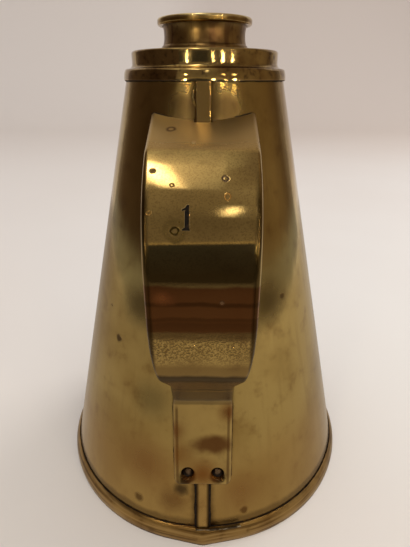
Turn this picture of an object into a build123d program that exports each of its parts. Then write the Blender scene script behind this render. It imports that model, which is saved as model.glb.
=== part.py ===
"""A one-kilo oil measure in sheet brass: a seamed cone on a hooped foot, closed by a spun cap with a short open
neck, and lifted by a strap handle whose narrow tail is riveted down over the seam.

Millimetres. The origin is the middle of the foot on the table, +Z is up the cone's axis, and the handle and the
seam are on the -Y side.
"""

from build123d import *
import os
from math import acos, atan, cos, degrees, pi, radians, sin

# Sheet and fits
body_sheet = 0.9
cap_sheet = 0.6
base_sheet = 0.8
solder_gap = 0.12

# Cone: its outer radius at the table and at the cap's lower edge
cone_foot_r = 65.1
cone_cap_r = 28.0
cap_edge_z = 163.2
cone_lap = 2.4
lap_clearance = 0.2

# Foot hoop and base plate
hoop_height = 6.8
hoop_edge = 0.6
hoop_bulge = 1.3
hoop_crown = 0.4
hoop_keel = 1.1
keel_round = 5.0
base_recess = 4.0
base_edge_z = 0.4
base_bend_r = 1.6

# Seam strip
seam_width = 5.0
seam_thickness = 0.8
seam_edge_r = 0.6

# Cap, from its lower edge up: a shallow bead that clears the cone's end, a ledge, a cove and a round-edged drum
bead_r = 7.0
bead_turn = 20.0
bead_edge_r = 1.0
ledge_slope = 10.0
ledge_width = 0.7
cove_r = 1.5
drum_height = 3.0
drum_edge_r = 0.9

# Neck and lip
neck_bore_r = 13.4
neck_wall = 1.0
neck_height = 8.9
neck_waist = 0.4
neck_stub = 2.2
neck_foot_width = 0.7
neck_foot_height = 1.8
lip_overhang = 1.8
lip_height = 2.2
lip_edge_r = 0.7
lip_rabbet = 1.4

# Handle, seen from the side: lengths along the strap's outer face, from the tail's end up, and how far out the
# bow stands from the end of the bend at its foot
tail_end_z = 26.7
tail_standoff = 2.4
tail_run = 32.0
foot_bend_r = 9.0
lower_slope = 26.0
handle_reach = 7.7
lower_bend_r = 12.0
grip_run = 30.5
upper_bend_r = 40.0
upper_slope = 40.0
upper_run = 2.0
top_bend_r = 10.0
top_slope = 23.0

# Handle, seen from the front
strap_width = 33.0
tail_width = 21.4
taper_z = 97.5
taper_r = 90.0
taper_turn = 13.0
shoulder_r = 3.0
shoulder_turn = 30.0
tail_root_r = 3.0
tail_corner_r = 2.5

# Handle, across its section: a sheet whose edges are folded back towards the cone
strap_sheet = 1.1
fold_depth = 4.2
fold_width = 2.4
fold_round = 1.5
tail_solid = 12.0
seam_clearance = 0.3

# Rivets
rivet_spacing = 11.0
rivet_above_end = 5.8
rivet_shank_r = 1.4
rivet_head_r = 2.0
rivet_head_height = 0.9
rivet_seat_r = 2.5
rivet_seat_depth = 0.5
rivet_tail_r = 2.6
rivet_tail_height = 1.1
rivet_clearance = 0.05

# Distances below which points meet and an edge counts as lying on a face
meeting = 1e-6
lying_on = 0.01

# Worked out from the sizes above
taper = (cone_foot_r - cone_cap_r) / cap_edge_z
half_angle = degrees(atan(taper))
neck_r = neck_bore_r + neck_wall
lip_r = neck_r + lip_overhang
side_plane = Plane(origin=(0, 0, 0), x_dir=(0, -1, 0), z_dir=(-1, 0, 0))


def cone_r(z, proud=0.0):
    """The cone's outer radius at height z, or that of a cone lying `proud` outside it, square to its wall."""
    return cone_foot_r - taper * z + proud / cos(radians(half_angle))


def cone_solid(proud, low, high):
    """A solid frustum that lies `proud` outside the cone's outer face."""
    frustum = Cone(cone_r(low, proud), cone_r(high, proud), high - low)
    return Pos(0, 0, (low + high) / 2) * frustum


def turned(edges):
    """An outline drawn as (distance from the axis, height), turned about the axis."""
    return revolve(Plane.XZ * make_face(edges), Axis.Z)


def course(start, heading, moves, side=0.0):
    """Straight and round stretches that run on from one another, `side` to the right of the course described.

    A move is a length, or a radius and a turn in degrees, positive to the left.
    """
    here = Vector(*start) + Vector(side, 0).rotate(Axis.Z, heading - 90)
    stretches = []
    for move in moves:
        ahead = Vector(1, 0).rotate(Axis.Z, heading)
        if isinstance(move, tuple):
            radius, turn = move
            radius += side if turn > 0 else -side
            stretches.append(JernArc(here, ahead, radius, turn))
            heading += turn
        else:
            stretches.append(Line(here, here + ahead * move))
        here = stretches[-1] @ 1
    return stretches


def closed(*courses):
    """The outline that joins the courses end to end and closes on its own start."""
    edges = []
    for stretches in courses:
        if edges and (edges[-1] @ 1 - stretches[0] @ 0).length > meeting:
            edges.append(Line(edges[-1] @ 1, stretches[0] @ 0))
        edges += stretches
    if (edges[-1] @ 1 - edges[0] @ 0).length > meeting:
        edges.append(Line(edges[-1] @ 1, edges[0] @ 0))
    return edges


def backwards(stretches):
    """The same course, run the other way."""
    return [Edge(stretch.wrapped).reversed() for stretch in reversed(stretches)]


# Cone
cone_top_z = cap_edge_z + cone_lap


def cone_body():
    """The rolled and seamed sheet, open at both ends."""
    wall = cone_solid(0, 0, cone_top_z) - cone_solid(-body_sheet, 0, cone_top_z)
    return wall - rivet_pair(rivet_shank_r + rivet_clearance, -drill_depth, 0)


def seam_strip():
    """The narrow strip that covers the cone's joint from the hoop to the cap."""
    low = hoop_height + solder_gap
    high = cap_edge_z - solder_gap
    outside = cone_solid(solder_gap + seam_thickness, low, high)
    bar = Pos(0, -cone_foot_r, (low + high) / 2) * Box(seam_width, 2 * cone_foot_r, high - low)
    strip = (outside & bar) - cone_solid(solder_gap, low, high)
    long_edges = [edge for edge in strip.edges() if edge.length > (high - low) / 2]
    outer_edges = ShapeList(long_edges).sort_by(Axis.Y)[:2]
    return fillet(outer_edges, seam_edge_r)


# Foot
def hoop_section(at_r):
    """The hoop's bulged section, reaching into the cone's room, `at_r` from the centre of its path."""
    foot = Vector(cone_r(0, solder_gap) + hoop_edge, 0)
    crown = Vector(cone_r(hoop_height / 2, solder_gap) + hoop_bulge, hoop_height / 2)
    top = Vector(cone_r(hoop_height, solder_gap) + hoop_crown, hoop_height)
    inner_r = cone_r(hoop_height) - hoop_keel
    outline = closed([ThreePointArc(foot, crown, top)], [Line((inner_r, hoop_height), (inner_r, 0))])
    return Plane.XZ * Pos(at_r - cone_foot_r, 0) * make_face(outline)


def foot_hoop():
    """The half-round band: a ring all round but for the front, where two flats run out to a rounded point."""
    nose_y = cone_foot_r + hoop_keel - keel_round
    turn = degrees(acos((cone_foot_r - keel_round) / nose_y))
    flat_length = (nose_y ** 2 - (cone_foot_r - keel_round) ** 2) ** 0.5
    section = hoop_section(cone_foot_r)
    ring = revolve(Rot(Z=turn - 90) * section, Axis.Z, 360 - 2 * turn)
    nose_axis = Axis((0, -nose_y, 0), (0, 0, 1))
    nose = revolve(Pos(0, -nose_y, 0) * Rot(Z=-90 - turn) * hoop_section(keel_round), nose_axis, 2 * turn)
    flat = extrude(Rot(Z=turn - 90) * section, flat_length, dir=Vector(-1, 0).rotate(Axis.Z, turn))
    return ring + nose + flat + mirror(flat, Plane.YZ) - cone_solid(solder_gap, 0, hoop_height)


def base_plate():
    """The bottom of the vessel: a disc whose edge is turned down and soldered inside the foot of the cone."""
    bend_rise = base_bend_r * (1 - sin(radians(half_angle)))
    flange = (base_recess + base_sheet - base_edge_z - bend_rise) / cos(radians(half_angle))
    start = (cone_r(base_edge_z, -body_sheet - solder_gap), base_edge_z)
    moves = [flange, (base_bend_r, 90 - half_angle)]
    outer = course(start, 90 + half_angle, moves)
    inner = course(start, 90 + half_angle, moves, -base_sheet)
    top = outer[-1] @ 1
    under = inner[-1] @ 1
    return turned(closed(outer, [Line(top, (0, top.Y)), Line((0, top.Y), (0, under.Y))], backwards(inner)))


# Cap
cap_edge_r = cone_r(cap_edge_z) + solder_gap + cap_sheet
cap_skirt = cone_lap + lap_clearance - (bead_r - cap_sheet) * sin(radians(bead_turn))
cap_moves = [
    cap_skirt,
    (bead_r, bead_turn),
    (bead_edge_r, 90 - ledge_slope - bead_turn),
    ledge_width,
    (cove_r, ledge_slope - 90),
    drum_height,
    (drum_edge_r, 90),
]
cap_outer = course((cap_edge_r, cap_edge_z), 90, cap_moves)
drum_top_z = (cap_outer[-1] @ 1).Y
hole_r = neck_r + solder_gap


def shoulder_cap():
    """The spun cap that closes the cone: bead, cove and drum, with the hole for the neck."""
    inner = course((cap_edge_r, cap_edge_z), 90, cap_moves, -cap_sheet)
    under_z = (inner[-1] @ 1).Y
    rim = [Line((hole_r, drum_top_z), (hole_r, under_z))]
    return turned(closed(cap_outer, rim, backwards(inner)))


# Neck and lip
neck_base_z = drum_top_z + solder_gap
neck_top_z = neck_base_z + neck_height
lip_low_z = neck_top_z - lip_rabbet


def neck_tube():
    """The short neck: a waisted tube with a foot flange on the cap and a stub through the cap's hole."""
    flange_r = neck_r + neck_foot_width
    flange_z = neck_base_z + neck_foot_height
    stub_z = neck_base_z - solder_gap - cap_sheet - neck_stub
    waist = (neck_r - neck_waist, (flange_z + lip_low_z) / 2)
    outline = [
        Line((neck_bore_r, stub_z), (neck_r, stub_z)),
        Line((neck_r, stub_z), (neck_r, neck_base_z)),
        Line((neck_r, neck_base_z), (flange_r, neck_base_z)),
        RadiusArc((flange_r, neck_base_z), (neck_r, flange_z), -neck_foot_height),
        ThreePointArc((neck_r, flange_z), waist, (neck_r, lip_low_z)),
        Line((neck_r, lip_low_z), (neck_r, neck_top_z)),
        Line((neck_r, neck_top_z), (neck_bore_r, neck_top_z)),
        Line((neck_bore_r, neck_top_z), (neck_bore_r, stub_z)),
    ]
    return turned(outline)


def lip_ring():
    """The turned ring round the mouth, rabbeted over the end of the neck."""
    rabbet_r = neck_r + solder_gap
    rabbet_z = neck_top_z + solder_gap
    round_edge = (lip_edge_r, 90)
    outer = course(
        (rabbet_r, lip_low_z),
        0,
        [lip_r - rabbet_r - lip_edge_r, round_edge, lip_height - 2 * lip_edge_r, round_edge],
    )
    mouth = Line((neck_bore_r, lip_low_z + lip_height), (neck_bore_r, rabbet_z))
    rabbet = Line((neck_bore_r, rabbet_z), (rabbet_r, rabbet_z))
    return turned(closed(outer, [mouth], [rabbet]))


# Handle
def strap_moves():
    """The outer face of the handle from the side, from the tail's end up to the axis."""
    tail_start = (cone_r(tail_end_z, tail_standoff), tail_end_z)
    heading = 90 + half_angle
    moves = [tail_run, (foot_bend_r, -half_angle - lower_slope)]
    lower_out = handle_reach - lower_bend_r * (1 - cos(radians(lower_slope)))
    moves += [
        lower_out / sin(radians(lower_slope)),
        (lower_bend_r, lower_slope),
        grip_run,
        (upper_bend_r, 90 - upper_slope),
        upper_run,
        (top_bend_r, upper_slope - top_slope),
    ]
    top = course(tail_start, heading, moves)[-1] @ 1
    moves.append(top.X / cos(radians(top_slope)))
    return tail_start, heading, moves


def strap_band(near, far):
    """The handle's side view between two depths below its outer face, across the whole width."""
    outline = closed(course(*strap_moves(), -near), backwards(course(*strap_moves(), -far)))
    return extrude(side_plane * make_face(outline), strap_width, both=True)


def strap_front(inset, low):
    """The handle's front view, `inset` inside its edge, down to the height `low`."""
    turn = taper_turn + shoulder_turn
    tapered = taper_r * (1 - cos(radians(taper_turn)))
    shouldered = shoulder_r * (cos(radians(taper_turn)) - cos(radians(turn)))
    rooted = tail_root_r * (1 - cos(radians(turn)))
    shoulder_in = (strap_width - tail_width) / 2 - tapered - shouldered - rooted
    top = (strap_width / 2, cap_edge_z)
    moves = [
        cap_edge_z - taper_z,
        (taper_r, -taper_turn),
        (shoulder_r, -shoulder_turn),
        shoulder_in / sin(radians(turn)),
        (tail_root_r, turn),
    ]
    upper = course(top, -90, moves, inset)
    root = upper[-1] @ 1
    lower = course(root, -90, [root.Y - low - tail_corner_r, (tail_corner_r, -90), root.X - tail_corner_r])
    half = make_face(closed(upper, lower, [Line((0, low), (0, cap_edge_z))]))
    return extrude(Plane.XZ * (half + mirror(half, Plane.YZ)), 2 * cone_foot_r)


def strap_handle():
    """The handle: a sheet with its edges folded back, its upper end and its tail cut to lie on the cone."""
    body = strap_band(0, fold_depth) & strap_front(0, tail_end_z)
    outer_face = side_plane * Wire(course(*strap_moves()))
    rims = []
    for edge in body.edges():
        middle = edge @ 0.5
        on_face = Vertex(0, middle.Y, middle.Z).distance_to(outer_face) < lying_on
        if on_face and abs(middle.X) > tail_corner_r:
            rims.append(edge)
    body = fillet(rims, fold_round)
    body -= strap_band(strap_sheet, strap_sheet + fold_depth) & strap_front(fold_width, tail_end_z + tail_solid)
    body -= cone_solid(solder_gap, 0, cap_edge_z)
    groove_depth = solder_gap + seam_thickness + seam_clearance
    groove = Box(seam_width + 2 * seam_clearance, 2 * cone_foot_r, 2 * cap_edge_z)
    body -= cone_solid(groove_depth, 0, cap_edge_z) & groove
    body -= rivet_pair(rivet_shank_r + rivet_clearance, -drill_depth, drill_depth)
    return body - rivet_pair(rivet_seat_r, -rivet_seat_depth, rivet_seat_depth)


# Rivets
rivet_z = tail_end_z + rivet_above_end
drill_depth = 2 * (tail_standoff + body_sheet)


def rivet_pair(radius, low, high):
    """Two cylinders square to the tail's flat face, from `low` to `high` above it, where the rivets are."""
    rod = Pos(0, 0, (low + high) / 2) * Cylinder(radius, high - low)
    return [place * rod for place in rivet_places()]


def rivet_places():
    """Where the rivets' axes cross the tail's outer face, with Z out of the face."""
    face_y = -cone_r(rivet_z, tail_standoff)
    out = (0, -cos(radians(half_angle)), sin(radians(half_angle)))
    places = []
    for side in (-1, 1):
        plane = Plane(origin=(side * rivet_spacing / 2, face_y, rivet_z), x_dir=(1, 0, 0), z_dir=out)
        places.append(plane.location)
    return places


def handle_rivets():
    """Both rivets: a low round head in its dished seat, the shank, and the head closed on the inside."""
    rise = rivet_head_height
    dome_r = (rivet_head_r ** 2 + rise ** 2) / (2 * rise)
    dome = Pos(0, 0, rise - dome_r) * Sphere(dome_r)
    head = dome & (Pos(0, 0, rise / 2) * Cylinder(rivet_head_r, rise))
    inside = cone_solid(-body_sheet - solder_gap, 0, cap_edge_z)
    tail_depth = tail_standoff + body_sheet + rivet_tail_height
    rivets = []
    for place, closed_end in zip(rivet_places(), rivet_pair(rivet_tail_r, -tail_depth, 0)):
        shank = place * Pos(0, 0, -tail_depth / 2) * Cylinder(rivet_shank_r, tail_depth)
        seated_head = place * Pos(0, 0, -rivet_seat_depth) * head
        rivets.append(seated_head + shank + (closed_end & inside))
    return Compound(children=rivets)


parts = {
    "cone_body": cone_body(),
    "seam_strip": seam_strip(),
    "foot_hoop": foot_hoop(),
    "base_plate": base_plate(),
    "shoulder_cap": shoulder_cap(),
    "neck_tube": neck_tube(),
    "lip_ring": lip_ring(),
    "strap_handle": strap_handle(),
    "handle_rivets": handle_rivets(),
}

os.makedirs("parts", exist_ok=True)
for name, shape in parts.items():
    export_step(shape, f"parts/{name}.step")

# What the measure holds: inside the cone, inside the cap's drum and inside the neck
drum_r = (cap_outer[-2] @ 1).X - cap_sheet
floor_z = base_recess + base_sheet
foot_r = cone_r(floor_z, -body_sheet)
top_r = cone_r(cone_top_z, -body_sheet)
top_z = lip_low_z + lip_height
held = pi * (cone_top_z - floor_z) / 3 * (foot_r ** 2 + foot_r * top_r + top_r ** 2)
held += pi * drum_r ** 2 * (drum_top_z - cap_sheet - cone_top_z)
held += pi * neck_bore_r ** 2 * (top_z - drum_top_z)
mm3_in_ml = 1000
print(f"height {top_z:.1f} mm, holds about {held / mm3_in_ml:.0f} ml to the brim")
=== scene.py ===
# An old one-kilo oil measure in sheet brass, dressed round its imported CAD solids. Metres, +Z up, the handle on -Y.

from math import cos, hypot, pi, radians, sin, sqrt

import bmesh
import bpy
from mathutils import Euler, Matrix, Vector
from mathutils.bvhtree import BVHTree
from mathutils.interpolate import poly_3d_calc


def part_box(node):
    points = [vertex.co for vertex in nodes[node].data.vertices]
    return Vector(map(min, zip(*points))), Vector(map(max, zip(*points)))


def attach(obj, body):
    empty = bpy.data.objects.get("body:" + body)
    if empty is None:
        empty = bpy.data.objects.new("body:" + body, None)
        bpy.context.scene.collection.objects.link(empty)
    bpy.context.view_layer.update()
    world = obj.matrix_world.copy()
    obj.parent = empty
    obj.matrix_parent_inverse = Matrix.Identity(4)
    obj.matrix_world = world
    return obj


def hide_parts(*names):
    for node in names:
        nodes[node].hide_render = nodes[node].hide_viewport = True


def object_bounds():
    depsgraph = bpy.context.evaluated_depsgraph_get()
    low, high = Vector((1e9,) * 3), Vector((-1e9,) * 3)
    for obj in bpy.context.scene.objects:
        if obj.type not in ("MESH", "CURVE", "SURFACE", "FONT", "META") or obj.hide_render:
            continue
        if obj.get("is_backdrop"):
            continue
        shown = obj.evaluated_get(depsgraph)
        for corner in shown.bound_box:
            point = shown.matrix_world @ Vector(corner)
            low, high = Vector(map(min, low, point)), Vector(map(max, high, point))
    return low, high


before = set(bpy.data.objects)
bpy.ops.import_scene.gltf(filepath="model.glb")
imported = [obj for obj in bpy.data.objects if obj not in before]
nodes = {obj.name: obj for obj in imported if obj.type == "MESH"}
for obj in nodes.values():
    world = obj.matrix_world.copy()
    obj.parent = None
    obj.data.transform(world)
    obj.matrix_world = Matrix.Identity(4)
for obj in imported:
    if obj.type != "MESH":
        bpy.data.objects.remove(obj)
cad_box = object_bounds()
MM = 0.001


# Sizes read from the frame
def rim(node, height):
    """The node's outermost radius among its corners at one height."""
    corners = [v.co for v in nodes[node].data.vertices if abs(v.co.z - height) < 0.05 * MM]
    return max(hypot(co.x, co.y) for co in corners)


cone_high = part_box("cone_body")[1]
hoop_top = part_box("foot_hoop")[1].z
cap_low, cap_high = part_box("shoulder_cap")
lip_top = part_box("lip_ring")[1].z
strap_low, strap_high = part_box("strap_handle")
foot_r = cone_high.x
cone_slope = (foot_r - rim("cone_body", cone_high.z)) / cone_high.z
seam_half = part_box("seam_strip")[1].x
strap_half = strap_high.x


def cone_r(height):
    """The cone's outer radius at a height."""
    return foot_r - cone_slope * height


def on_cone(x, height, proud=0.0):
    """The point on the handle's side of the cone with that x and height, or one `proud` outside it."""
    radius = cone_r(height) + proud
    return Vector((x, -sqrt(max(radius ** 2 - x ** 2, 0)), height))


# Camera: where the photograph was taken from, with a lens of its angle of view
PICTURE = (410, 547)
SENSOR = 36
LENS = 26.43
FOCAL = LENS / SENSOR * PICTURE[1]


def set_camera():
    """The camera, a hand's breadth in front of the handle and a little above the shoulder, looking down."""
    lens = bpy.data.cameras.new("camera")
    lens.sensor_width = SENSOR
    lens.lens = LENS
    lens.clip_start = 0.01
    camera = bpy.data.objects.new("camera", lens)
    camera.location = (0.00222, -0.16140, 0.16377)
    camera.rotation_euler = Euler((radians(64.086), 0, radians(0.755)))
    bpy.context.collection.objects.link(camera)
    bpy.context.scene.camera = camera
    return camera


camera = set_camera()


def tree_of(node):
    """A search tree over a node's faces."""
    mesh = nodes[node].data
    return BVHTree.FromPolygons([v.co for v in mesh.vertices], [p.vertices for p in mesh.polygons])


strap_tree = tree_of("strap_handle")
cone_tree = tree_of("cone_body")


def seen(tree, across, down):
    """The point of a node that the photograph shows at that pixel."""
    ray = Vector((across - PICTURE[0] / 2, PICTURE[1] / 2 - down, -FOCAL))
    ray.rotate(camera.rotation_euler)
    return tree.ray_cast(camera.location, ray.normalized())[0]


# Finishes
def srgb(code):
    """A hex colour as linear red, green, blue and 1."""
    values = [int(code[i:i + 2], 16) / 255 for i in (1, 3, 5)]
    return tuple(v / 12.92 if v <= 0.04045 else ((v + 0.055) / 1.055) ** 2.4 for v in values) + (1,)


def grain(mm):
    """The texture scale that makes a pattern's features about that many millimetres across."""
    return 1 / (mm * MM)


def add(tree, kind, sockets=None, out=0, **settings):
    """Adds a node with its settings, and sets or links its sockets. Returns one of its outputs."""
    made = tree.nodes.new(kind)
    for name, value in settings.items():
        setattr(made, name, value)
    for name, value in (sockets or {}).items():
        if isinstance(value, bpy.types.NodeSocket):
            tree.links.new(value, made.inputs[name])
        else:
            made.inputs[name].default_value = value
    return made.outputs[out] if made.outputs else made


class Finish:
    """A material under construction: its tree and the colour, roughness and height that reach the shader."""

    def __init__(self, name, colour, roughness):
        self.material = bpy.data.materials.new(name)
        self.material.use_nodes = True
        self.tree = self.material.node_tree
        self.tree.nodes.clear()
        self.place = self.add("ShaderNodeTexCoord", out=3)
        self.colour = srgb(colour)
        self.roughness = roughness
        self.heights = []

    def add(self, kind, sockets=None, out=0, **settings):
        """Adds a node to this finish."""
        return add(self.tree, kind, sockets, out, **settings)

    def lay(self, pattern, start, full, colour, roughness=None, most=1.0, within=None):
        """Lays a colour, and a roughness if there is one, where a pattern goes from `start` to `full`.

        It covers a `most` share there, and only as far as `within`, another share. Returns the share covered.
        """
        share = self.add("ShaderNodeMapRange", {0: pattern, 1: start, 2: full, 3: 0.0, 4: most},
                         interpolation_type="SMOOTHSTEP")
        if within:
            share = self.add("ShaderNodeMath", {0: share, 1: within}, operation="MULTIPLY")
        self.colour = self.add("ShaderNodeMix", {0: share, 6: self.colour, 7: srgb(colour)}, out=2, data_type="RGBA")
        if roughness is not None:
            self.roughness = self.add("ShaderNodeMix", {0: share, 2: self.roughness, 3: roughness})
        return share

    def raise_by(self, height, mm):
        """Adds a relief: a value whose step from 0 to 1 stands that many millimetres high."""
        self.heights.append((height, mm))

    def done(self, **shader_sockets):
        """Joins everything to the shader, which also gets any constants given here."""
        sockets = {"Base Color": self.colour, "Roughness": self.roughness, "Metallic": 1.0}
        sockets.update({name.replace("_", " "): value for name, value in shader_sockets.items()})
        for height, mm in self.heights:
            bump = {"Strength": 1.0, "Distance": mm * MM, "Height": height}
            if "Normal" in sockets:
                bump["Normal"] = sockets["Normal"]
            sockets["Normal"] = self.add("ShaderNodeBump", bump)
        shader = self.add("ShaderNodeBsdfPrincipled", sockets)
        self.add("ShaderNodeOutputMaterial", {"Surface": shader})
        return self.material


# How far corners are sought, and the colour of the dirt and painted shade laid in them
CORNER_REACH = 2.4
CORNER_DIRT_AND_SHADE = "#1E150D"


def worn_brass(name, bright, tarnished, stained, shine, stain=0.5, clouds=28, dents=0.08, seed=0.0):
    """Old brass that has been polished many times: bright metal, cloudy tarnish, stains, and dirt with painted shade in
    its corners.

    The marks of the cloth are finer than the picture shows, so they are drawn about a millimetre across.
    """
    finish = Finish(name, bright, shine)
    place = finish.add("ShaderNodeVectorMath", {0: finish.place, 1: (seed, seed, seed)}, operation="ADD")
    cloudy = finish.add("ShaderNodeTexNoise", {"Vector": place, "Scale": grain(clouds), "Detail": 4.0})
    finish.lay(cloudy, 0.38, 0.68, tarnished, shine + 0.03)
    stains = finish.add("ShaderNodeTexNoise",
                        {"Vector": place, "Scale": grain(clouds / 4), "Detail": 6.0, "Roughness": 0.62})
    finish.lay(stains, 0.52, 0.76, stained, shine + 0.08, stain)
    # Dirt and painted shade: darker where the occlusion finds corners and creases
    corners = finish.add("ShaderNodeAmbientOcclusion", {"Distance": CORNER_REACH * MM}, out=1, samples=8)
    finish.lay(corners, 0.84, 0.4, CORNER_DIRT_AND_SHADE, 0.6, 0.9)
    wipes = finish.add("ShaderNodeTexNoise", {"Vector": place, "Scale": grain(1.1), "Detail": 4.0, "Roughness": 0.7})
    finish.raise_by(wipes, 0.004)
    waves = finish.add("ShaderNodeTexNoise", {"Vector": place, "Scale": grain(clouds * 0.6), "Detail": 1.0})
    finish.raise_by(waves, dents)
    return finish


def rubbed_edges(finish, colour, width, strength=0.9):
    """Brightens the finish on sharp outer edges, where cloths and hands have rubbed it."""
    soft = finish.add("ShaderNodeBevel", {"Radius": width * MM}, samples=6)
    sharp = finish.add("ShaderNodeNewGeometry", out=1)
    alike = finish.add("ShaderNodeVectorMath", {0: soft, 1: sharp}, out=1, operation="DOT_PRODUCT")
    corners = finish.add("ShaderNodeAmbientOcclusion", {"Distance": CORNER_REACH * MM}, out=1, samples=6)
    outer = finish.add("ShaderNodeMapRange", {0: corners, 1: 0.7, 2: 0.95})
    finish.lay(alike, 0.995, 0.93, colour, 0.22, strength, outer)


def round_the_axis(finish, around, up):
    """The place as a direction round the axis and a height, each in units of that many millimetres."""
    flat = finish.add("ShaderNodeVectorMath", {0: finish.place, 1: (1, 1, 0)}, operation="MULTIPLY")
    way = finish.add("ShaderNodeVectorMath", {0: flat}, operation="NORMALIZE")
    wide = finish.add("ShaderNodeVectorMath", {0: way, 3: foot_r * grain(around)}, operation="SCALE")
    tall = finish.add("ShaderNodeVectorMath", {0: finish.place, 1: (0, 0, grain(up))}, operation="MULTIPLY")
    return finish.add("ShaderNodeVectorMath", {0: wide, 1: tall}, operation="ADD")


def ragged_place(finish, lump, reach):
    """The place, shaken by up to half `reach` in lumps of a size, both in mm, so that marks on it look natural."""
    noise = finish.add("ShaderNodeTexNoise", {"Vector": finish.place, "Scale": grain(lump), "Detail": 3.0}, out=1)
    drift = finish.add("ShaderNodeVectorMath", {0: noise, 1: (0.5, 0.5, 0.5)}, operation="SUBTRACT")
    return finish.add("ShaderNodeVectorMath", {0: drift, 1: (reach * MM,) * 3, 2: finish.place},
                      operation="MULTIPLY_ADD")


def height_band(finish, place, low, high, soft):
    """1 between two heights in mm, falling to 0 over `soft` mm at each end."""
    level = finish.add("ShaderNodeSeparateXYZ", {0: place}, out=2)
    up = finish.add("ShaderNodeMapRange", {0: level, 1: (low - soft) * MM, 2: low * MM})
    down = finish.add("ShaderNodeMapRange", {0: level, 1: (high + soft) * MM, 2: high * MM})
    return finish.add("ShaderNodeMath", {0: up, 1: down}, operation="MULTIPLY")


def spots(finish, tree, marks, shake=2.0):
    """Lays round marks on a finish: stains and dirt, and some painted reflections and shade. Each is its place in the
    picture, the radii in mm where it starts, is full and is hollow, its colour, its share and its relief in mm. Their
    outlines are shaken by up to half of `shake` mm."""
    place = ragged_place(finish, 2.5, shake)
    for across, down, start, full, hollow, colour, share, relief in marks:
        off = finish.add("ShaderNodeVectorMath", {0: place, 1: seen(tree, across, down)}, out=1, operation="DISTANCE")
        ring = None
        if hollow:
            ring = finish.add("ShaderNodeMapRange", {0: off, 1: 0.5 * hollow * MM, 2: hollow * MM})
        mark = finish.lay(off, start * MM, full * MM, colour, 0.4, share, ring)
        if relief:
            finish.raise_by(mark, relief)


def sheet_brass():
    """Rolled sheet brass, bent into a cone by hand: faint flats up the wall make its reflections waver."""
    finish = worn_brass("rolled_sheet_brass", "#BBA163", "#A4884E", "#866538", 0.14)
    flats = finish.add("ShaderNodeTexNoise", {"Vector": round_the_axis(finish, 11, 90), "Scale": 1.0, "Detail": 2.0})
    finish.raise_by(flats, 0.12)
    blows = finish.add("ShaderNodeTexNoise", {"Vector": finish.place, "Scale": grain(7), "Detail": 1.0})
    near_cap = finish.add("ShaderNodeMath", {0: blows, 1: height_band(finish, finish.place, 148, 170, 6)},
                          operation="MULTIPLY")
    finish.raise_by(near_cap, 0.12)
    streaks = finish.add("ShaderNodeTexNoise", {"Vector": round_the_axis(finish, 4, 30), "Scale": 1.0, "Detail": 5.0})
    finish.lay(streaks, 0.5, 0.75, "#8F7243", 0.26, 0.25)
    finish.lay(height_band(finish, ragged_place(finish, 20, 16), 0, 24, 26), 0, 1, "#B08A50", None, 0.5)
    side = finish.add("ShaderNodeSeparateXYZ", {0: ragged_place(finish, 5, 2.5)})
    off_seam = finish.add("ShaderNodeMath", {0: side}, operation="ABSOLUTE")
    front = finish.add("ShaderNodeSeparateXYZ", {0: finish.place}, out=1)
    handle_side = finish.add("ShaderNodeMath", {0: front, 1: 0.0}, operation="LESS_THAN")
    finish.lay(off_seam, 5.5 * MM, 2.6 * MM, "#4A331B", 0.35, 0.75, handle_side)
    # A dark band just above the hoop: its painted reflection and shade, with dirt in the crease
    finish.lay(height_band(finish, ragged_place(finish, 6, 3.0), 7, 8.6, 2.2), 0, 1, "#5C4526", 0.35, 0.6)
    spots(finish, cone_tree, CONE_MARKS)
    return finish.done()


# Marks on the cone: across and down in the picture, the radii in mm where each starts, is full and is hollow, its
# colour, its share and its relief in mm
CONE_MARKS = [
    (119, 338, 2.0, 0.9, 0, "#4A331A", 0.85, -0.05),
    (282, 296, 1.5, 0.5, 0, "#5A4020", 0.75, -0.03),
    (139, 497, 2.6, 0.8, 0, "#5E431F", 0.8, -0.04),
    (244, 510, 2.2, 0.8, 0, "#5E3D1A", 0.8, -0.04),
    (112, 305, 1.0, 0.3, 0, "#6A4E2A", 0.6, 0),
    (172, 500, 9.0, 0, 0, "#6B4322", 0.6, 0),
    (181, 489, 4.2, 0.8, 0, "#33261C", 0.8, 0),
    (146, 462, 17.0, 0, 0, "#86582E", 0.6, 0),
    (240, 492, 12.0, 0, 0, "#8E6236", 0.5, 0),
    # These two: painted reflection and shade of the handle on the cone beside it
    (266, 302, 13.0, 1.0, 0, "#43351F", 0.75, 0),
    (140, 305, 12.0, 1.0, 0, "#463721", 0.7, 0),
    (152, 400, 12.0, 1.0, 0, "#5E5232", 0.5, 0),
    # These two: dirt between the strap and the cap, with the handle's painted reflection
    (182, 108, 8.0, 2.0, 0, "#453527", 0.75, 0),
    (226, 108, 8.0, 2.0, 0, "#453527", 0.75, 0),
]


def seam_brass():
    """Hammered brass strip of a redder sort, with the hard solder's flush still along it."""
    finish = worn_brass("brazed_seam_brass", "#BA985C", "#A5824C", "#7A552E", 0.26, clouds=14, seed=0.3)
    blows = finish.add("ShaderNodeTexVoronoi", {"Vector": finish.place, "Scale": grain(4.5)})
    finish.raise_by(blows, 0.10)
    across = finish.add("ShaderNodeSeparateXYZ", {0: finish.place})
    off_middle = finish.add("ShaderNodeMath", {0: across}, operation="ABSOLUTE")
    up = finish.add("ShaderNodeSeparateXYZ", {0: finish.place}, out=2)
    lower = finish.add("ShaderNodeMapRange", {0: up, 1: 150 * MM, 2: 140 * MM, 3: 0.25, 4: 1.0})
    finish.lay(off_middle, 1.0 * MM, 2.3 * MM, "#2A1B0E", 0.5, 0.9, lower)
    finish.lay(up, 140 * MM, 150 * MM, "#AC9058", 0.14, 0.9)
    return finish.done()


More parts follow.
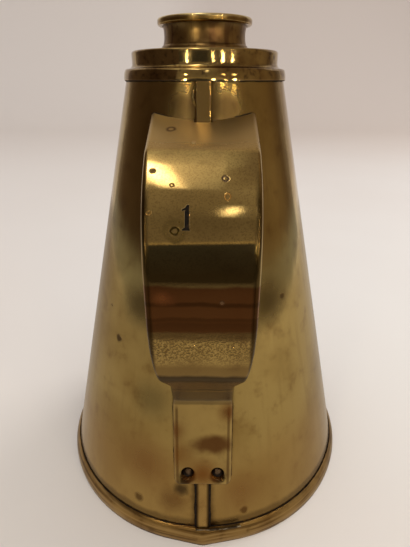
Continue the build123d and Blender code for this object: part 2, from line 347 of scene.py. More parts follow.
def spun_brass():
    """Spun cap brass: fine rings from the tool, and blotched brown where the polishing cloth doesn't reach."""
    finish = worn_brass("spun_cap_brass", "#B69C62", "#876A3E", "#4A3420", 0.09, 0.95, clouds=8, dents=0.05, seed=0.5)
    flat = finish.add("ShaderNodeVectorMath", {0: finish.place, 1: (1, 1, 0)}, operation="MULTIPLY")
    reach = finish.add("ShaderNodeVectorMath", {0: flat}, out=1, operation="LENGTH")
    rings = finish.add("ShaderNodeTexNoise", {"W": reach, "Scale": grain(0.8), "Detail": 2.0}, noise_dimensions="1D")
    finish.raise_by(rings, 0.008)
    rubbed_edges(finish, "#D2B683", 0.5, 0.8)
    return finish.done()


def drawn_brass():
    """Drawn neck brass: a brown, even tarnish with a few lighter rubs."""
    finish = worn_brass("drawn_neck_brass", "#9A7E4C", "#725636", "#4A3320", 0.3, 0.8, clouds=14, seed=0.7)
    streaks = finish.add("ShaderNodeTexNoise", {"Vector": round_the_axis(finish, 9, 24), "Scale": 1.0, "Detail": 4.0})
    finish.lay(streaks, 0.48, 0.62, "#644830", 0.3, 0.65)
    return finish.done()


def turned_brass():
    """Turned lip brass: rounder and brighter than the neck, with a painted highlight along the top of the mouth."""
    finish = worn_brass("turned_lip_brass", "#A28448", "#7A5C34", "#54391F", 0.2, clouds=12, seed=0.9)
    # Painted highlight: pale along the top of the mouth
    up = finish.add("ShaderNodeSeparateXYZ", {0: ragged_place(finish, 4, 0.8)}, out=2)
    finish.lay(up, lip_top - 1.1 * MM, lip_top - 0.3 * MM, "#F0DDA6", 0.24, 0.9)
    rubbed_edges(finish, "#DDC494", 0.6)
    return finish.done()


def hoop_brass():
    """Half-round hoop brass: bronze-brown, with paler and darker draw lines along it."""
    finish = worn_brass("drawn_hoop_brass", "#A88853", "#85663A", "#5E4326", 0.3, 0.6, clouds=16, dents=0.05, seed=1.1)
    lines = finish.add("ShaderNodeTexNoise", {"Vector": round_the_axis(finish, 26, 1.1), "Scale": 1.0, "Detail": 3.0})
    finish.lay(lines, 0.5, 0.66, "#C4A36C", 0.26, 0.55)
    finish.lay(lines, 0.46, 0.34, "#4E371F", 0.4, 0.6)
    finish.raise_by(lines, 0.04)
    return finish.done()


# The rivets' columns in the picture, and the dirt round them
RIVET_COLUMNS = (188, 217.5)
RIVET_DIRT = "#1C130D"


def rivet_brass():
    """Hammered rivet heads: nearly black round the edge, with a dull worn middle."""
    finish = worn_brass("hammered_rivet_brass", "#6E5C4C", "#544334", "#3A2A1E", 0.52, clouds=6, dents=0.04, seed=1.3)
    edges = [(across, 471.5, 4.5, 4.0, 1.3, RIVET_DIRT, 0.96, 0) for across in RIVET_COLUMNS]
    spots(finish, tree_of("handle_rivets"), edges)
    return finish.done()


def plate_brass():
    """The bottom plate's brass: never polished, so brown and dull all over."""
    finish = worn_brass("dull_plate_brass", "#8E7342", "#6E5530", "#46341E", 0.42, seed=1.5)
    return finish.done()


def strap_brass():
    """The handle's brass: bright where hands hold the bow, a painted reddish-brown reflection below, pitted, then dull
    with painted shade and reflections at its foot; a painted sheen at its top end.
    """
    finish = worn_brass("handled_strap_brass", "#C3A767", "#AE935A", "#876A42", 0.05, 0.4, dents=0.025, seed=1.7)
    patina = finish.add("ShaderNodeTexNoise", {"Vector": finish.place, "Scale": grain(0.5), "Detail": 3.0})
    finish.lay(patina, 0.46, 0.66, "#86693A", 0.12, 0.4, height_band(finish, finish.place, 118, 146, 4))
    uneven = ragged_place(finish, 9, 2.4)
    # Painted sheen, reflection and shade in bands across the strap, and a browner band below the pits
    for low, high, soft, colour, roughness, share in STRAP_TINTS_AND_PAINTED_LIGHT:
        finish.lay(height_band(finish, uneven, low, high, soft), 0, 1, colour, roughness, share)
    pitted = finish.add("ShaderNodeTexNoise", {"Vector": finish.place, "Scale": grain(9), "Detail": 2.0})
    rough_part = finish.add("ShaderNodeMath", {0: height_band(finish, uneven, 88, 92.5, 5), 1: pitted},
                            operation="MULTIPLY")
    pits = finish.add("ShaderNodeTexNoise", {"Vector": finish.place, "Scale": grain(0.5), "Detail": 2.0})
    holes = finish.lay(pits, 0.45, 0.65, "#6E4E28", 0.2, 1.0, rough_part)
    finish.raise_by(holes, -0.09)
    # Painted glints: bright specks between the pits
    finish.lay(pits, 0.42, 0.3, "#D8B87E", 0.14, 0.6, rough_part)
    across = finish.add("ShaderNodeSeparateXYZ", {0: finish.place})
    off_middle = finish.add("ShaderNodeMath", {0: across}, operation="ABSOLUTE")
    # Painted reflection: a dark band just inside each rounded rim of the bow
    inside_rim = finish.add("ShaderNodeMapRange", {0: off_middle, 1: 16.3 * MM, 2: 15.9 * MM})
    lower = finish.add("ShaderNodeMath", {0: inside_rim, 1: height_band(finish, finish.place, 60, 134, 8)},
                       operation="MULTIPLY")
    finish.lay(off_middle, 14.0 * MM, 15.2 * MM, "#33230F", 0.3, 0.85, lower)
    # Painted shade: a brown line where each side of the tail rounds over
    off_line = finish.add("ShaderNodeMath", {0: off_middle, 1: 9.3 * MM}, operation="SUBTRACT")
    beside_line = finish.add("ShaderNodeMath", {0: off_line}, operation="ABSOLUTE")
    finish.lay(beside_line, 0.75 * MM, 0.2 * MM, "#52331B", 0.3, 0.6, height_band(finish, uneven, 28, 58, 2))
    spots(finish, strap_tree, STRAP_MARKS, 0.9)
    smudge = finish.add("ShaderNodeVectorMath", {0: finish.place, 1: seen(strap_tree, *SMUDGE)}, operation="SUBTRACT")
    oval = finish.add("ShaderNodeVectorMath", {0: smudge, 1: (0.6, 1, 1.25)}, operation="MULTIPLY")
    ragged = finish.add("ShaderNodeTexNoise", {"Vector": finish.place, "Scale": grain(6), "Detail": 3.0})
    reach = finish.add("ShaderNodeVectorMath", {0: oval}, out=1, operation="LENGTH")
    edge = finish.add("ShaderNodeMath", {0: ragged, 1: 5 * MM, 2: reach}, operation="MULTIPLY_ADD")
    finish.lay(edge, 9.0 * MM, 4.5 * MM, "#633A1C", 0.3, 0.85)
    rubbed_edges(finish, "#E6D0A0", 0.35, 0.7)
    return finish.done()


# Bands across the strap, most of them painted light: from and to which height, the fade, all in mm, then colour,
# roughness and share
STRAP_TINTS_AND_PAINTED_LIGHT = [
    # Painted sheen: the pale top end
    (148.5, 157.0, 3.5, "#CDB27C", 0.42, 0.75),
    # Painted reflection: the reddish-brown band, its two dark lines and the darker band below it
    (97.0, 110.9, 1.2, "#905A30", 0.12, 0.9),
    (105.6, 106.0, 0.9, "#2E1A0E", 0.3, 0.5),
    (100.6, 101.0, 0.8, "#2E1A0E", 0.3, 0.4),
    (95.0, 99.0, 2.6, "#4C2F1A", 0.3, 0.65),
    # A browner band below the pits
    (80.0, 83.0, 3.0, "#6E5232", 0.25, 0.6),
    # Painted shade and reflections in the bends at the bow's foot
    (76.8, 79.0, 1.6, "#2E2116", 0.35, 0.85),
    (71.5, 76.0, 1.2, "#66513A", 0.3, 0.65),
    (70.3, 70.9, 0.5, "#2B2118", 0.3, 0.75),
    (62.6, 69.2, 1.0, "#544838", 0.32, 0.75),
    (60.6, 61.6, 1.0, "#4A3A26", 0.3, 0.5),
]

# The brown smudge on the strap's tail: its middle, across and down in the picture
SMUDGE = (212, 445)

# Marks on the strap, in the same terms as the cone's
STRAP_MARKS = [
    (171, 129, 1.9, 1.0, 0.9, "#5A3E33", 0.8, -0.03),
    (194, 142, 0.9, 0.4, 0, "#D8C08E", 0.8, 0.06),
    (152.5, 171, 1.1, 0.5, 0, "#2E1C0D", 0.9, -0.06),
    (226, 178.5, 1.2, 0.9, 0.7, "#3F3030", 0.9, -0.03),
    (227.6, 197, 1.2, 0.9, 0.8, "#C08A45", 0.8, 0.03),
    (174.5, 231, 3.8, 2.6, 2.4, "#5A4A28", 0.6, 0),
    (174.5, 231, 1.5, 1.1, 0.8, "#2C2312", 0.95, -0.05),
    (149, 213, 0.9, 0.6, 0.5, "#B08A50", 0.8, 0.03),
    (172, 185, 0.8, 0.6, 0.4, "#6A5024", 0.8, -0.03),
    # These two: painted reflection, a brighter orange patch in the reddish-brown band
    (160, 298, 3.6, 0.2, 0, "#C87E4A", 0.5, 0),
    (168, 299, 3.6, 0.2, 0, "#B87244", 0.4, 0),
    (222, 303, 0.9, 0.3, 0, "#B89A7A", 0.6, 0.03),
    (RIVET_COLUMNS[0], 472.5, 4.4, 3.0, 0, RIVET_DIRT, 0.95, 0),
    (RIVET_COLUMNS[1], 472.5, 4.4, 3.0, 0, RIVET_DIRT, 0.95, 0),
    (184, 483, 3.0, 0.8, 0, "#2A1D14", 0.85, 0),
    # The next three: brown stain along the tail's sides, with painted shade
    (174, 430, 6.0, 0, 0, "#7A4A22", 0.75, 0),
    (178, 455, 9.0, 0, 0, "#84521F", 0.6, 0),
    (229, 412, 6.0, 0, 0, "#7A4A22", 0.8, 0),
    (203, 474, 10.0, 0, 0, "#84501F", 0.85, 0),
]


def solder_grey():
    """Tin-lead solder: soft grey, dull, with a frosty skin and brown dirt on it."""
    finish = Finish("tin_lead_solder", "#A29C8C", 0.4)
    skin = finish.add("ShaderNodeTexNoise", {"Vector": finish.place, "Scale": grain(1.6), "Detail": 5.0})
    finish.lay(skin, 0.42, 0.62, "#6A604E", 0.5)
    dirt = finish.add("ShaderNodeTexNoise", {"Vector": finish.place, "Scale": grain(3), "Detail": 3.0})
    finish.lay(dirt, 0.48, 0.62, "#3A2A1A", 0.6, 0.8)
    finish.raise_by(skin, 0.08)
    return finish.done()


def black_grime():
    """Old polish and oil packed into the joints: almost black, dull, browner in patches."""
    finish = Finish("packed_grime", "#150E09", 0.7)
    lumps = finish.add("ShaderNodeTexNoise", {"Vector": finish.place, "Scale": grain(0.9), "Detail": 4.0})
    finish.lay(lumps, 0.5, 0.7, "#2E1F12", 0.8)
    finish.raise_by(lumps, 0.1)
    return finish.done(Metallic=0.0, Specular_IOR_Level=0.15)


finishes = {
    "cone_body": sheet_brass(),
    "seam_strip": seam_brass(),
    "foot_hoop": hoop_brass(),
    "base_plate": plate_brass(),
    "shoulder_cap": spun_brass(),
    "neck_tube": drawn_brass(),
    "lip_ring": turned_brass(),
    "handle_rivets": rivet_brass(),
    "strap_handle": strap_brass(),
}
solder = solder_grey()
grime = black_grime()
for node, finish in finishes.items():
    for slot in nodes[node].material_slots:
        slot.material = finish


# Joints: solder and dirt that follow them
def joint_tree():
    """Geometry nodes that turn a line of edges into an uneven run of solder or dirt along it."""
    tree = bpy.data.node_groups.new("uneven_run", "GeometryNodeTree")
    tree.interface.new_socket("Line", in_out="INPUT", socket_type="NodeSocketGeometry")
    for name in ("Radius", "Unevenness", "Lump length", "Wander"):
        tree.interface.new_socket(name, in_out="INPUT", socket_type="NodeSocketFloat")
    tree.interface.new_socket("Finish", in_out="INPUT", socket_type="NodeSocketMaterial")
    tree.interface.new_socket("Run", in_out="OUTPUT", socket_type="NodeSocketGeometry")
    given = tree.nodes.new("NodeGroupInput").outputs
    place = add(tree, "GeometryNodeInputPosition")
    scale = add(tree, "ShaderNodeMath", {0: 1.0, 1: given["Lump length"]}, operation="DIVIDE")
    lumps = add(tree, "ShaderNodeTexNoise", {"Vector": place, "Scale": scale, "Detail": 3.0})
    drift = add(tree, "ShaderNodeTexNoise", {"Vector": place, "Scale": scale, "Detail": 2.0}, out=1)
    centred = add(tree, "ShaderNodeVectorMath", {0: drift, 1: (0.5, 0.5, 0.5)}, operation="SUBTRACT")
    offset = add(tree, "ShaderNodeVectorMath", {0: centred, 3: given["Wander"]}, operation="SCALE")
    most = add(tree, "ShaderNodeMath", {0: 1.0, 1: given["Unevenness"]}, operation="ADD")
    least = add(tree, "ShaderNodeMath", {0: 1.0, 1: given["Unevenness"]}, operation="SUBTRACT")
    thick = add(tree, "ShaderNodeMapRange", {0: lumps, 1: 0.3, 2: 0.7, 3: least, 4: most})
    curve = add(tree, "GeometryNodeMeshToCurve", {"Mesh": given["Line"]})
    curve = add(tree, "GeometryNodeResampleCurve", {"Curve": curve, "Length": 0.7 * MM}, mode="LENGTH")
    curve = add(tree, "GeometryNodeSetPosition", {"Geometry": curve, "Offset": offset})
    section = add(tree, "GeometryNodeCurvePrimitiveCircle", {"Resolution": 8, "Radius": given["Radius"]})
    run = add(tree, "GeometryNodeCurveToMesh",
              {"Curve": curve, "Profile Curve": section, "Scale": thick, "Fill Caps": True})
    run = add(tree, "GeometryNodeSetShadeSmooth", {"Geometry": run})
    run = add(tree, "GeometryNodeRealizeInstances", {"Geometry": run})
    run = add(tree, "GeometryNodeSetMaterial", {"Geometry": run, "Material": given["Finish"]})
    tree.links.new(run, tree.nodes.new("NodeGroupOutput").inputs["Run"])
    return tree


uneven_run = joint_tree()


def joint(name, lines, radius, finish, uneven=0.4, lump=3.0, wander=0.0, closed=False):
    """A run of solder or dirt along one or more lines of points. Sizes in mm."""
    points = []
    edges = []
    for line in lines:
        first = len(points)
        points += line
        edges += [(i, i + 1) for i in range(first, len(points) - 1)]
        if closed:
            edges.append((len(points) - 1, first))
    mesh = bpy.data.meshes.new(name)
    mesh.from_pydata(points, edges, [])
    piece = bpy.data.objects.new(name, mesh)
    bpy.context.collection.objects.link(piece)
    sizes = {"Radius": radius * MM, "Unevenness": uneven, "Lump length": lump * MM, "Wander": wander * MM}
    modifier = piece.modifiers.new("run", "NODES")
    modifier.node_group = uneven_run
    for item in uneven_run.interface.items_tree:
        if item.name in sizes:
            modifier[item.identifier] = sizes[item.name]
        if item.name == "Finish":
            modifier[item.identifier] = finish
    made = piece.evaluated_get(bpy.context.evaluated_depsgraph_get())
    done = bpy.data.meshes.new_from_object(made)
    piece.modifiers.clear()
    piece.data = done
    done.name = name
    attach(piece, "root")
    return piece


def ring_of(radius, height, count=180):
    """Points round the axis."""
    turns = [2 * pi * i / count for i in range(count)]
    return [Vector((radius * cos(turn), radius * sin(turn), height)) for turn in turns]


def up_the_cone(x, low, high, proud=0.0, count=60):
    """Points up the cone beside the seam."""
    return [on_cone(x, low + (high - low) * i / count, proud) for i in range(count + 1)]


def strap_foot_outline():
    """Points round the end of the strap's tail, where it meets the cone."""
    tail_half = 10.75 * MM
    tail_top = 58 * MM
    corner = 2.5 * MM
    low = strap_low.z - 0.05 * MM
    side = up_the_cone(-tail_half, tail_top, low + corner, 0.1 * MM, 30)
    turns = [radians(180 + 10 * i) for i in range(1, 10)]
    rounding = [on_cone(-tail_half + corner + corner * cos(t), low + corner + corner * sin(t), 0.1 * MM)
                for t in turns]
    left = side + rounding
    return left + [Vector((-p.x, p.y, p.z)) for p in reversed(left)]


# Where the hard solder shows beside the seam above the handle: across and down in the picture
SEAM_TOP_BEAD = [(196, 86), (193, 91), (192.5, 98), (195, 105), (197, 111), (197, 118)]
hoop_top_r = rim("foot_hoop", hoop_top)


def strap_top_outline():
    """Points along the strap's upper end, where it runs out on the cone below the cap."""
    line = []
    for i in range(41):
        x = strap_half * (i / 20 - 1) * 0.985
        start = on_cone(x, strap_high.z, 0.35 * MM) + Vector((0, 0, 0.02))
        hit = strap_tree.ray_cast(start, Vector((0, 0, -1)))[0]
        if hit and abs(x) > 1.3 * seam_half:
            line.append(hit)
    return line


seam_side = seam_half + 0.15 * MM
# Behind the handle's bow, between the strap's two ends, the seam lies open from and to these heights
SHOWN_LOW, SHOWN_HIGH = 72 * MM, 143 * MM
joint("hoop_crevice", [ring_of(cone_r(hoop_top) + 0.1 * MM, hoop_top + 0.02 * MM)], 0.18, grime, 0.8, closed=True)
joint("hoop_foot_crevice", [ring_of(cone_r(0) + 0.05 * MM, 0.35 * MM)], 0.25, grime, 0.4, closed=True)
seam_runs = []
for side in (-seam_side, seam_side):
    seam_runs.append(up_the_cone(side, hoop_top, strap_low.z - 0.6 * MM, 0.05 * MM))
    seam_runs.append(up_the_cone(side, SHOWN_LOW, SHOWN_HIGH, 0.05 * MM))
joint("seam_grooves", seam_runs, 0.48, grime, 0.5)
bead = [seen(cone_tree, across, down) for across, down in SEAM_TOP_BEAD]
joint("seam_top_bead", [bead], 0.42, finishes["lip_ring"], 0.7, 1.5, 0.3)
joint("tail_grime", [strap_foot_outline()], 0.24, grime, 0.9, 5.0)
joint("strap_top_solder", [strap_top_outline()], 0.2, grime, 0.6, 5.0, 0.3)
neck_foot_r = rim("neck_tube", cap_high.z + 0.12 * MM)
joint("neck_foot_grime", [ring_of(neck_foot_r + 0.05 * MM, cap_high.z + 0.05 * MM, 120)], 0.2, grime, 0.5, closed=True)
joint("cap_edge_grime", [ring_of(cone_r(cap_low.z) + 0.25 * MM, cap_low.z - 0.05 * MM)], 0.26, grime, 0.6, closed=True)
foot_turns = [radians(-90 + 1.2 * i) for i in range(-2, 12)]
foot_line = [Vector((hoop_top_r * cos(turn), hoop_top_r * sin(turn), hoop_top + 0.1 * MM)) for turn in foot_turns]
joint("hoop_seam_solder", [foot_line], 0.26, solder, 0.7, 3.0, 0.4)


# Handle: a copy of the CAD strap with its stamped numeral, whose outline is in mm from its middle
NUMERAL_AT = (186.5, 218)
NUMERAL_DEPTH = 0.35
NUMERAL_ONE = [
    (-1.3, -3.1), (0.95, -3.1), (0.9, -2.8), (0.62, -2.4), (0.62, 3.1), (0.1, 3.1), (-0.35, 2.45), (-1.25, 2.05),
    (-1.25, 1.6), (-0.5, 1.85), (-0.5, -2.3), (-1.2, -2.75),
]


def merged_copy(node, name):
    """A copy of a CAD node's mesh with its loose triangles joined."""
    mesh = nodes[node].data.copy()
    mesh.name = name
    made = bmesh.new()
    made.from_mesh(mesh)
    bmesh.ops.remove_doubles(made, verts=made.verts, dist=0.001 * MM)
    made.to_mesh(mesh)
    made.free()
    copy = bpy.data.objects.new(name, mesh)
    bpy.context.collection.objects.link(copy)
    return copy


def numeral_punch(middle_x, middle_z, depth):
    """A cutter in the shape of the plain numeral 1 that follows the strap's face, `depth` into it."""
    outside = []
    inside = []
    for x, z in NUMERAL_ONE:
        start = Vector((middle_x + x * MM, -0.1, middle_z + z * MM))
        hit = strap_tree.ray_cast(start, Vector((0, 1, 0)))[0]
        outside.append(hit - Vector((0, 0.8 * MM, 0)))
        inside.append(hit + Vector((0, depth, 0)))
    count = len(outside)
    faces = [list(range(count)), list(range(2 * count - 1, count - 1, -1))]
    for i in range(count):
        after = (i + 1) % count
        faces.append([i, count + i, count + after, after])
    mesh = bpy.data.meshes.new("numeral_punch")
    mesh.from_pydata(outside + inside, [], faces)
    made = bmesh.new()
    made.from_mesh(mesh)
    bmesh.ops.recalc_face_normals(made, faces=made.faces)
    made.to_mesh(mesh)
    made.free()
    punch = bpy.data.objects.new("numeral_punch", mesh)
    bpy.context.collection.objects.link(punch)
    return punch


def settle(piece):
    """Turns the piece's modifiers into its plain mesh."""
    made = piece.evaluated_get(bpy.context.evaluated_depsgraph_get())
    mesh = bpy.data.meshes.new_from_object(made)
    piece.modifiers.clear()
    piece.data = mesh
    return mesh


def carry_normals(cut, plain):
    """Gives the cut mesh the smooth shading of the plain one, corner by corner, but leaves the stroke's walls flat."""
    faces = [polygon.vertices for polygon in plain.polygons]
    tree = BVHTree.FromPolygons([v.co for v in plain.vertices], faces)
    given = [Vector(corner.vector) for corner in plain.corner_normals]
    normals = []
    for polygon in cut.polygons:
        for vertex in polygon.vertices:
            point = cut.vertices[vertex].co
            near = [hit[2] for hit in tree.find_nearest_range(point, 0.02 * MM)]
            if polygon.material_index or not near:
                normals.append(polygon.normal.copy())
                continue
            face = plain.polygons[max(near, key=lambda index: plain.polygons[index].normal.dot(polygon.normal))]
            weights = poly_3d_calc([plain.vertices[v].co for v in face.vertices], point)
            mixed = sum((given[i] * w for i, w in zip(face.loop_indices, weights)), Vector())
            normals.append(mixed.normalized())
    cut.normals_split_custom_set(normals)


def stamped_strap():
    """The strap with its numeral struck into the upper bend, and the stroke full of dirt."""
    strap = merged_copy("strap_handle", "stamped_strap")
    strap.data.materials.clear()
    strap.data.materials.append(finishes["strap_handle"])
    for polygon in strap.data.polygons:
        polygon.material_index = 0
    strap.data.shade_smooth()
    strap.data.set_sharp_from_angle(angle=radians(32))
    even = strap.modifiers.new("even", "WEIGHTED_NORMAL")
    even.keep_sharp = True
    settle(strap)
    plain = strap.data.copy()
    struck = seen(strap_tree, *NUMERAL_AT)
    punch = numeral_punch(struck.x, struck.z, NUMERAL_DEPTH * MM)
    punch.data.materials.append(grime)
    cut = strap.modifiers.new("numeral", "BOOLEAN")
    cut.operation = "DIFFERENCE"
    cut.solver = "EXACT"
    cut.material_mode = "TRANSFER"
    cut.object = punch
    carry_normals(settle(strap), plain)
    bpy.data.objects.remove(punch)
    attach(strap, "root")
    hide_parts("strap_handle")
    burr = []
    for i in range(24):
        start = Vector((struck.x + 0.8 * MM, -0.1, struck.z + (i / 4 - 2.75) * MM))
        burr.append(strap_tree.ray_cast(start, Vector((0, 1, 0)))[0])
    joint("numeral_burr", [burr], 0.16, finishes["strap_handle"], 0.5, 2.0)


stamped_strap()


# Room: a pale sweep, and boards that only the polished metal sees
def board(name, rows):
    """A board that shows only in reflections. Each row is a line of corners: x, y and z in metres and a colour, and
    for a lamp's glow how many times that bright."""
    corners = [corner for row in rows for corner in row]
    wide = len(rows[0])
    faces = []
    for down in range(len(rows) - 1):
        for across in range(wide - 1):
            first = down * wide + across
            faces.append((first, first + 1, first + wide + 1, first + wide))
    mesh = bpy.data.meshes.new(name)
    mesh.from_pydata([Vector(corner[:3]) for corner in corners], [], faces)
    tint = mesh.color_attributes.new("tint", "FLOAT_COLOR", "POINT")
    for point, corner in zip(tint.data, corners):
        point.color = Vector(srgb(corner[3])) * (corner[4] if len(corner) > 4 else 1.0)
    made = bpy.data.objects.new(name, mesh)
    bpy.context.collection.objects.link(made)
    material = bpy.data.materials.new(name)
    material.use_nodes = True
    material.node_tree.nodes.clear()
    shade = add(material.node_tree, "ShaderNodeAttribute", attribute_name="tint")
    glow = add(material.node_tree, "ShaderNodeEmission", {"Color": shade})
    add(material.node_tree, "ShaderNodeOutputMaterial", {"Surface": glow})
    mesh.materials.append(material)
    made.visible_camera = False
    made.visible_diffuse = False
    made.visible_shadow = False
    made.visible_transmission = False
    made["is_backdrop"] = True


def level_board(name, height, across, rows):
    """A level board, from its corners' places across (x), and each row's place in depth (y) and colours."""
    board(name, [[(x, y, height, colour) for x, colour in zip(across, colours)] for y, colours in rows])


LIFTED_GREY = 160


def wall(name, x, depths, heights):
    """A board on one side, from its darkest colours by depth (y) and how far each height (z) lifts them to grey."""
    rows = []
    for z, lift in heights:
        row = []
        for y, colour in depths:
            parts = [round(int(colour[i:i + 2], 16) * (1 - lift) + LIFTED_GREY * lift) for i in (1, 3, 5)]
            row.append((x, y, z, "#%02X%02X%02X" % tuple(parts)))
        rows.append(row)
    board(name, rows)


def pale_paper():
    """Matt warm-white paper, with a faint mottle, and painted shade that makes it duller towards the back, and a little
    in front and on the left.
    """
    finish = Finish("pale_paper", "#EEEAE7", 0.9)
    mottle = finish.add("ShaderNodeTexNoise", {"Vector": finish.place, "Scale": grain(400), "Detail": 3.0})
    finish.lay(mottle, 0.35, 0.7, "#E9E3DF")
    # Painted shade: darker towards the back, and a little in front
    depth = finish.add("ShaderNodeSeparateXYZ", {0: finish.place}, out=1)
    finish.lay(depth, 0.1, 1.3, "#CDC1B9", most=0.95)
    finish.lay(depth, 0.0, -0.12, "#DED5CF", most=0.6)
    # Painted shade: darker on the left
    across = finish.add("ShaderNodeSeparateXYZ", {0: finish.place})
    finish.lay(across, 0.05, -0.25, "#E6DED8", most=0.6)
    return finish.done(Metallic=0.0)


def sweep():
    """The floor, running up into a wall far behind the measure."""
    near, bend, round_r, top, half = -2.0, 1.3, 0.6, 2.6, 2.6
    line = [(near, 0.0), (bend, 0.0)]
    for i in range(1, 13):
        turn = pi / 2 * i / 12
        line.append((bend + round_r * sin(turn), round_r - round_r * cos(turn)))
    line.append((bend + round_r, top))
    points = [(x, y, z) for y, z in line for x in (-half, half)]
    faces = [(2 * i, 2 * i + 1, 2 * i + 3, 2 * i + 2) for i in range(len(line) - 1)]
    mesh = bpy.data.meshes.new("paper_sweep")
    mesh.from_pydata(points, [], faces)
    mesh.shade_smooth()
    mesh.materials.append(pale_paper())
    floor = bpy.data.objects.new("paper_sweep", mesh)
    bpy.context.collection.objects.link(floor)
    floor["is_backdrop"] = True


def set_world():
    """Soft even light from everywhere, and the paper's colour behind it."""
    world = bpy.data.worlds.new("room")
    bpy.context.scene.world = world
    world.use_nodes = True
    tree = world.node_tree
    tree.nodes.clear()
    rays = add(tree, "ShaderNodeLightPath").node.outputs
    seen_rays = add(tree, "ShaderNodeMath", {0: rays["Is Camera Ray"], 1: rays["Is Glossy Ray"]}, operation="ADD")
    shown = add(tree, "ShaderNodeMath", {0: seen_rays, 1: rays["Is Transmission Ray"]}, operation="ADD", use_clamp=True)
    soft = add(tree, "ShaderNodeBackground", {"Color": srgb("#FFFDFB"), "Strength": 0.76})
    paper = add(tree, "ShaderNodeBackground", {"Color": srgb("#D6CBC2"), "Strength": 1.0})
    both = add(tree, "ShaderNodeMixShader", {0: shown, 1: soft, 2: paper})
    add(tree, "ShaderNodeOutputWorld", {"Surface": both})


BEND = Vector((0, -0.05, 0.14))


def lamp(name, azimuth, elevation, distance, sides, power, colour):
    """A rectangular lamp aimed at the handle's bend, `azimuth` degrees from the front towards +X."""
    light = bpy.data.lights.new(name, "AREA")
    light.shape = "RECTANGLE"
    light.size, light.size_y = sides
    light.energy = power
    light.color = srgb(colour)[:3]
    lit = bpy.data.objects.new(name, light)
    turn, rise = radians(azimuth), radians(elevation)
    way = Vector((sin(turn) * cos(rise), -cos(turn) * cos(rise), sin(rise)))
    lit.location = BEND + distance * way
    lit.rotation_euler = way.to_track_quat("Z", "Y").to_euler()
    bpy.context.collection.objects.link(lit)
    return lit


# Small lamps for the glints on the cap: azimuth, elevation and watts
FAR_LAMP_SIDE = 0.014
FAR_LAMP_DISTANCE = 0.5
FAR_LAMPS = [
    (-27, 23, 0.09), (29, 24, 0.09), (45, 22, 0.06),
    (-27, 4, 0.2), (14, 4, 0.1), (30, 5, 0.14), (45, 4, 0.16),
]

bpy.context.scene.view_settings.view_transform = "Standard"
sweep()
set_world()
# The brass doesn't mirror this lamp: the boards are what it mirrors
lamp("wall_light", 125, 38, 1.9, (1.0, 1.0), 12.0, "#FFFCF8").visible_glossy = False
for number, (azimuth, elevation, power) in enumerate(FAR_LAMPS):
    lamp(f"far_lamp_{number}", azimuth, elevation, FAR_LAMP_DISTANCE, (FAR_LAMP_SIDE,) * 2, power, "#FFECC4")
# How far each height of the side walls is lifted to grey
LIFTS = [(0, 1.0), (0.045, 0.9), (0.085, 0.0), (0.5, 0.0), (1.1, 0.15)]
wall("left_wall", -0.5, [(0.42, "#8F8379"), (0.22, "#5A4A40"), (-0.1, "#483A32"), (-0.9, "#54443A")], LIFTS)
wall("right_wall", 0.45, [(0.36, "#A0958A"), (0.2, "#6A5848"), (0.0, "#8A7761"), (-0.25, "#84735F"), (-0.9, "#776758")],
     LIFTS)
level_board("bench_top", 0.001, (-0.45, 0, 0.4), [
    (-0.31, ("#A0968C", "#B6AA98", "#E2D8CC")),
    (0.0, ("#A59A90", "#B8AC9C", "#D2C8BA")),
    (0.5, ("#B0A69C", "#C0B6AC", "#D0C6BC")),
])
level_board("brown_card", 0.04, (-0.05, 0.05), [
    (-0.3, ("#352E28", "#352E28")),
    (-0.206, ("#352E28", "#352E28")),
    (-0.201, ("#6E645C", "#6E645C")),
    (-0.143, ("#786E66", "#786E66")),
])
board("bench_front", [
    [(-0.5, -0.31, 0, "#352E28"), (0.5, -0.31, 0, "#352E28")],
    [(-0.6, -0.66, 0.2, "#3C3B3C"), (0.6, -0.66, 0.2, "#3C3B3C")],
    [(-0.6, -0.66, 0.226, "#3C3B3C"), (0.6, -0.66, 0.226, "#3C3B3C")],
    [(-0.6, -0.66, 0.23, "#AC9C82"), (0.6, -0.66, 0.23, "#AC9C82")],
    [(-0.6, -0.66, 0.248, "#AC9C82"), (0.6, -0.66, 0.248, "#AC9C82")],
    [(-0.6, -0.66, 0.254, "#857A6E"), (0.6, -0.66, 0.254, "#857A6E")],
    [(-0.7, -0.64, 0.47, "#7C7267"), (0.7, -0.64, 0.47, "#7C7267")],
    [(-0.8, -0.6, 0.7, "#92877A"), (0.8, -0.6, 0.7, "#92877A")],
    [(-0.8, -0.5, 0.9, "#A59B8E"), (0.8, -0.5, 0.9, "#9B9084")],
])
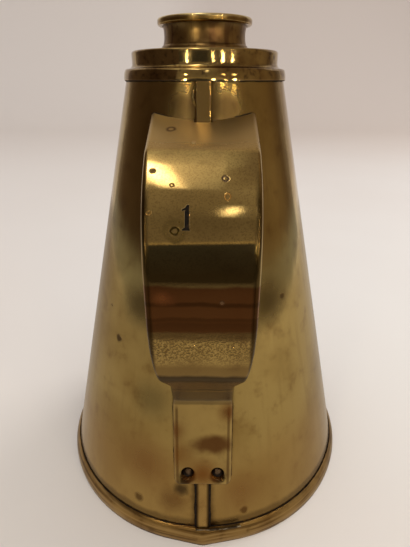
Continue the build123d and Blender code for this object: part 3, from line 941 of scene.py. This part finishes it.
level_board("ceiling", 0.9, (-0.8, -0.2, -0.02, 0.09, 0.8), [
    (-0.5, ("#A59B8E", "#A59B8E", "#A59B8E", "#9B9084", "#9B9084")),
    (-0.33, ("#B0A698", "#BEB4A4", "#B4A99A", "#8A7E72", "#807468")),
    (-0.12, ("#B4AA9C", "#EDE6D8", "#E6E0D2", "#82766C", "#7A6E64")),
    (0.06, ("#B4AA9C", "#D8D0C2", "#D8D0C2", "#8C8076", "#82766C")),
    (0.3, ("#B0A090", "#B8A898", "#B8A898", "#A89888", "#A09080")),
    (0.75, ("#A89888", "#B4A292", "#B4A292", "#A89888", "#A09080")),
])

# Two bright places: a window's over the bend's left side, and a small one to the right of the numeral. Each corner
# is so many times as bright as the glare's colour
GLARE = "#FFF4E6"
WINDOW = [
    (0.02, ((-0.2, 0.62), (-0.15, 0.62), (-0.12, 0.62), (-0.08, 0.62), (0.03, 0.62))),
    (-0.06, ((-0.19, 0.6), (-0.15, 1.4), (-0.12, 1.4), (-0.08, 0.9), (0.03, 0.7))),
    (-0.13, ((-0.17, 0.7), (-0.138, 9), (-0.115, 9), (-0.07, 1.3), (0.03, 0.75))),
    (-0.25, ((-0.15, 0.6), (-0.118, 9), (-0.095, 9), (-0.06, 1.2), (0.03, 0.6))),
    (-0.36, ((-0.13, 0.5), (-0.1, 6), (-0.082, 6), (-0.05, 0.9), (0.03, 0.45))),
    (-0.45, ((-0.13, 0.4), (-0.1, 0.4), (-0.08, 0.4), (-0.04, 0.4), (0.03, 0.4))),
]
SHELF = [
    (0.48, ((0.02, 0.26), (0.045, 0.26), (0.07, 0.26))),
    (0.57, ((0.02, 0.27), (0.045, 5), (0.07, 0.27))),
    (0.66, ((0.02, 0.28), (0.045, 0.28), (0.07, 0.28))),
]
board("window_glare", [[(x, y, 0.81, GLARE, times) for x, times in row] for y, row in WINDOW])
board("shelf_glare", [[(x, -0.57, z, GLARE, times) for x, times in row] for z, row in SHELF])

boxes = {"cad": cad_box, "visual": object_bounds()}
{name: [[float(v) for v in corner] for corner in box] for name, box in boxes.items()}
